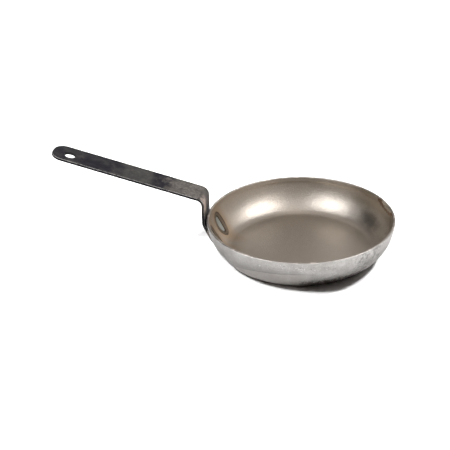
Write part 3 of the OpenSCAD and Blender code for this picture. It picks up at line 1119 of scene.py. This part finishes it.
def rim_steel(finish):
    """Cut edge of the sheet, with painted glints in patches along it"""
    material, n, surface = shader("Rim edge steel")
    grain = n.grain(scale=900.0, cloud=220.0)
    # Painted glints: lighter patches along the edge
    painted_glints = n.blotches(scale=60.0, push=-0.06, soft=0.08)
    base = n.paint(
        finish.rim_edge,
        (grain["Cloud"], 0.4, toned(finish.rim_edge, 0.7)),
        (painted_glints, 0.7, toned(finish.rim_edge, 1.9)),
    )
    dress(n, surface, base, METAL, n.scaled(grain["Cloud"], 0.15, 0.34), grain, bump=0.5, depth=0.15 * MM)
    return material


# Places of marks on the handle, as stretches like those on the pan

GREYED_REACH = (-205 * MM, -182 * MM, -163 * MM, -156 * MM)
RUBBED_HEIGHTS = (42 * MM, 49 * MM, 57 * MM, 62 * MM)
COAT_SPECULAR = 0.17


def black_coat(finish):
    """Black coat of the handle, chipped on the edges and worn thin near the bend, with painted shade on the
    bar's narrow sides
    """
    material, n, surface = shader("Handle coat")
    coat = partial(toned, finish.coat)
    grain = n.grain(scale=700.0, cloud=140.0)
    x, y, z = n.parts(n.place())
    near_bend = n.times(n.spread(x, -163 * MM, -122 * MM), n.spread(z, 34 * MM, 54 * MM, 0.1, 1.0))
    worn = n.blotches(scale=85.0, push=n.scaled(near_bend, 0.36, -0.22), soft=0.13)
    haze = n.blotches(scale=60.0, push=n.scaled(n.window(x, *GREYED_REACH), 0.3, -0.12), soft=0.2)
    flecks = n.blotches(scale=420.0, push=0.0, soft=0.09)
    chipped = n.group("Edge wear", Edge=n.mark("edge"), Scale=300.0, Amount=0.37)["Mask"]
    uneven_z = n.ragged(z, n.noise(scale=110.0, detail=5.0), 18 * MM)
    rubbed = n.times(n.window(uneven_z, *RUBBED_HEIGHTS), n.spread(y, 2 * MM, -13 * MM))
    rubbed = n.times(rubbed, n.spread(x, -112 * MM, -104 * MM))
    rubbed = n.times(rubbed, n.spread(worn, 0.2, 0.9, 0.3, 1.0, ramp="LINEAR"))
    # Painted shade: the narrow sides of the bar are kept darker
    side = n.spread(n.math("ABSOLUTE", y), 14.9 * MM, 15.8 * MM)
    base = n.paint(
        finish.coat,
        (haze, 0.8, coat(14, (1.15, 1.1, 0.58))),
        (flecks, 0.3, coat(7, (1.1, 1.05, 0.85))),
        (worn, 0.9, finish.worn_coat),
        (n.times(flecks, worn), 0.5, toned(finish.worn_coat, 2.2)),
        (grain["Cloud"], 0.4, coat(0.7)),
        (grain["Speck"], 0.5, coat(0.7)),
        (rubbed, 1.0, finish.rubbed),
        (side, 0.9, coat(0.8)),
        (chipped, 1.0, finish.bare_edge),
    )
    dress(n, surface, base, chipped, n.scaled(haze, 0.1, 0.56), grain, bump=0.9, depth=0.4 * MM)
    surface["Specular IOR Level"].default_value = COAT_SPECULAR
    return material


def weld_metal(finish):
    """Blue-grey middle of the burnt-through metal, and the darker oxide skin of the beads, with painted shade
    in their ripple troughs, root and ends
    """
    material, n, surface = shader("Weld metal")
    grain = n.grain(scale=1300.0, cloud=300.0)
    core = n.mark("core")
    inner = n.paint(
        finish.weld_core,
        (grain["Cloud"], 0.4, toned(finish.weld_core, 0.7)),
        (n.spread(core, 0.8, 1.0), 1.0, finish.scorch),
    )
    skin = n.mix(grain["Cloud"], finish.weld_skin, toned(finish.weld_skin, 1.8))
    # Painted shade: the skin is darker in the ripple troughs, along the bead's root and at its ends
    skin = n.mix(n.spread(core, 2.1, 2.45, ramp="LINEAR"), toned(finish.weld_skin, 0.5), skin)
    base = n.mix(n.spread(core, 1.2, 1.8, ramp="LINEAR"), inner, skin)
    dress(n, surface, base, METAL, n.scaled(grain["Cloud"], 0.15, 0.4), grain, bump=0.4, depth=0.15 * MM)
    return material


# Studio

PHOTO_SIDE = 450
FOCAL_PX = 1200.0
RIM_CENTRE_PX = (300.7, 217.0)
SENSOR = 36.0
FARTHEST = 20
VIEW_DISTANCE = 1.275
VIEW_RISE = math.radians(27.8)
VIEW_ROLL = math.radians(-1.69)
VIEW_TURN = math.radians(10.4)
BOX_DISTANCE = 1.0
FLOOR_HALF = 4.0
FLOOR_ROUGHNESS = 0.9
# Where a change of the mirrored room starts and ends, and its level before and after
ROOM_UP = (0.0, 0.75, 0.82, 0.68)
ROOM_ACROSS = (-0.75, 0.9, 0.42, 1.9)
ROOM_BACK = (0.3, 0.95, 0.0, 0.34)
ROOM_OVERHEAD = (0.75, 0.97, 0.0, 0.9)
DARK_PLACE = (-0.93, 0.24, 0.28)
DARK_PLACE_EDGE = (0.81, 0.95, 1.0, 0.03)


def place_camera(pan):
    """Sets the camera where the photograph was taken from"""
    ahead = np.array([0, math.cos(VIEW_RISE), -math.sin(VIEW_RISE)])
    lifted = np.array([0, math.sin(VIEW_RISE), math.cos(VIEW_RISE)])
    level = np.array([1.0, 0, 0])
    right = math.cos(VIEW_ROLL) * level + math.sin(VIEW_ROLL) * lifted
    up = -math.sin(VIEW_ROLL) * level + math.cos(VIEW_ROLL) * lifted
    middle = PHOTO_SIDE / 2
    shift_x = (RIM_CENTRE_PX[0] - middle) * VIEW_DISTANCE / FOCAL_PX
    shift_y = (middle - RIM_CENTRE_PX[1]) * VIEW_DISTANCE / FOCAL_PX
    place = np.array([0, 0, pan.pan_h]) - shift_x * right - shift_y * up - VIEW_DISTANCE * ahead
    turn = np.array(Matrix.Rotation(VIEW_TURN, 3, "Z"))
    data = bpy.data.cameras.new("Camera")
    data.sensor_width = SENSOR
    data.lens = FOCAL_PX / PHOTO_SIDE * SENSOR
    data.clip_end = FARTHEST
    bpy.context.scene.camera = put("Camera", data, [turn @ axis for axis in (right, up, -ahead, place)])


def soft_box(name, power, azimuth, rise, width, height, mirrored=True, tone=(1.0, 1.0, 1.0)):
    """A rectangular light that faces the pan; it either mirrors in the steel or lights dull surfaces"""
    data = bpy.data.lights.new(name, "AREA")
    data.shape = "RECTANGLE"
    data.size = width
    data.size_y = height
    data.energy = power
    data.color = tone
    turn, lift = math.radians(azimuth), math.radians(rise)
    back = np.array([math.cos(turn) * math.cos(lift), math.sin(turn) * math.cos(lift), math.sin(lift)])
    side = np.array([-math.sin(turn), math.cos(turn), 0])
    light = put(name, data, [side, np.cross(back, side), back, back * BOX_DISTANCE])
    light.visible_camera = False
    light.visible_diffuse = not mirrored
    light.visible_glossy = mirrored


def floor_lamp(name, power, azimuth, rise, spread):
    """A distant lamp that lights the floor and casts the pan's shadow, and doesn't mirror in the steel"""
    data = bpy.data.lights.new(name, "SUN")
    data.energy = power
    data.angle = math.radians(spread)
    lamp = put(name, data)
    lamp.rotation_euler = (0, RIGHT_ANGLE - math.radians(rise), math.radians(azimuth))
    lamp.visible_glossy = False


def studio_air(fill, air):
    """The room round the pan: plain white behind it, and in the steel pale with one dark place"""
    world = bpy.data.worlds.new("Studio")
    bpy.context.scene.world = world
    world.cycles_visibility.diffuse = False
    world.use_nodes = True
    world.node_tree.nodes.clear()
    n = Nodes(world.node_tree)
    aim = n.new("ShaderNodeTexCoord").outputs["Generated"]
    x, y, z = n.parts(aim)
    toward_dark = n.filled("ShaderNodeVectorMath", [aim, DARK_PLACE], operation="DOT_PRODUCT")["Value"]
    level = n.times(n.spread(z, *ROOM_UP), n.spread(x, *ROOM_ACROSS))
    level = n.math("ADD", level, n.spread(y, *ROOM_BACK))
    level = n.math("ADD", level, n.spread(z, *ROOM_OVERHEAD))
    level = n.times(level, n.spread(toward_dark, *DARK_PLACE_EDGE))
    mirrored = n.filled("ShaderNodeBackground", [solid(air), n.times(level, fill)])[0]
    seen = n.filled("ShaderNodeBackground", [solid((1.0, 1.0, 1.0))])[0]
    by_camera = n.new("ShaderNodeLightPath").outputs["Is Camera Ray"]
    both = n.filled("ShaderNodeMixShader", [by_camera, mirrored, seen])[0]
    n.feed(n.new("ShaderNodeOutputWorld").inputs["Surface"], both)


def build_floor(tint, mirror_share):
    """A wide plain floor; the steel mirrors only a share of its brightness"""
    corners = [(x * FLOOR_HALF, y * FLOOR_HALF, 0) for x, y in ((-1, -1), (1, -1), (1, 1), (-1, 1))]
    mesh = bpy.data.meshes.new("studio_floor")
    mesh.from_pydata(corners, [], [(0, 1, 2, 3)])
    material, n, surface = shader("Pale floor")
    seen = n.paint(tint, (n.noise(scale=3.0, detail=2.0), 0.1, toned(tint, 0.97)))
    by_steel = n.new("ShaderNodeLightPath").outputs["Is Glossy Ray"]
    n.feed(surface["Base Color"], n.mix(by_steel, seen, toned(tint, mirror_share)))
    surface["Roughness"].default_value = FLOOR_ROUGHNESS
    mesh.materials.append(material)
    floor = put("studio_floor", mesh)


# Operators and panel


class PAN_OT_body(bpy.types.Operator):
    """Build the pressed steel body of the pan"""

    bl_idname = "pan.body"
    bl_label = "Pan body"

    def execute(self, context):
        scene = context.scene
        materials = [make(scene.pan_finish) for make in (inside_steel, outside_steel, rim_steel)]
        body = build_pan_body(scene.pan_sizes, scene.pan_handle, scene.pan_weld, materials)
        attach(body, "root")
        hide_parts("pan_body")
        return {"FINISHED"}


class PAN_OT_handle(bpy.types.Operator):
    """Build the bent flat-bar handle"""

    bl_idname = "pan.handle"
    bl_label = "Handle"

    def execute(self, context):
        scene = context.scene
        bar = build_handle(scene.pan_sizes, scene.pan_handle, [black_coat(scene.pan_finish)])
        bar.modifiers.new("Even shading", "WEIGHTED_NORMAL")
        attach(bar, "root")
        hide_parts("handle")
        return {"FINISHED"}


class PAN_OT_welds(bpy.types.Operator):
    """Build the two welds between the handle and the wall"""

    bl_idname = "pan.welds"
    bl_label = "Welds"

    def execute(self, context):
        scene = context.scene
        metal = weld_metal(scene.pan_finish)
        for name, side, node in (("weld_front", -1, "front_weld"), ("weld_rear", 1, "rear_weld")):
            made = build_weld(name, side, scene.pan_sizes, scene.pan_handle, scene.pan_weld, [metal])
            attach(made, "root")
            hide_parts(node)
        return {"FINISHED"}


class PAN_OT_studio(bpy.types.Operator):
    """Set up the floor, the soft boxes and the camera"""

    bl_idname = "pan.studio"
    bl_label = "Studio"

    def execute(self, context):
        scene = context.scene
        studio = scene.pan_studio
        build_floor(studio.floor, studio.mirror_share)
        studio_air(studio.fill, studio.air)
        soft_box("Left soft box", studio.left_power, azimuth=-134, rise=44, width=0.6, height=0.48)
        soft_box("Right soft box", studio.right_power, azimuth=-12, rise=45, width=0.76, height=0.42)
        soft_box("Sky", studio.sky_power, azimuth=90, rise=89.9, width=2.0, height=2.0, mirrored=False,
                 tone=(1.0, 0.90, 0.88))
        floor_lamp("Left floor lamp", studio.left_wash, azimuth=-152.7, rise=51.4, spread=10)
        floor_lamp("Right floor lamp", studio.right_wash, azimuth=29.9, rise=53.9, spread=8)
        floor_lamp("Back floor lamp", studio.back_wash, azimuth=120, rise=50, spread=12)
        place_camera(scene.pan_sizes)
        scene.view_settings.view_transform = "Standard"
        return {"FINISHED"}


class PAN_PT_sidebar(bpy.types.Panel):
    """Buttons and settings of the omelette pan"""

    bl_idname = "PAN_PT_sidebar"
    bl_label = "Omelette pan"
    bl_space_type = "VIEW_3D"
    bl_region_type = "UI"
    bl_category = "Omelette pan"

    def draw(self, context):
        layout = self.layout
        for step in STEPS:
            layout.operator(step.bl_idname)
        for name in SETTINGS:
            group = getattr(context.scene, name)
            box = layout.box()
            for field in group.__annotations__:
                box.prop(group, field)


SETTINGS = {
    "pan_sizes": PanSizes,
    "pan_handle": HandleSizes,
    "pan_weld": WeldSizes,
    "pan_finish": Finish,
    "pan_studio": Studio,
}
STEPS = (PAN_OT_body, PAN_OT_handle, PAN_OT_welds, PAN_OT_studio)
CLASSES = (*SETTINGS.values(), *STEPS, PAN_PT_sidebar)


def register():
    for made in CLASSES:
        bpy.utils.register_class(made)
    for name, group in SETTINGS.items():
        setattr(bpy.types.Scene, name, PointerProperty(type=group))


def unregister():
    for name in SETTINGS:
        delattr(bpy.types.Scene, name)
    for made in reversed(CLASSES):
        bpy.utils.unregister_class(made)


def main():
    register()
    for step in (bpy.ops.pan.body, bpy.ops.pan.handle, bpy.ops.pan.welds, bpy.ops.pan.studio):
        step()
    bpy.context.view_layer.update()


if __name__ == "__main__":
    main()
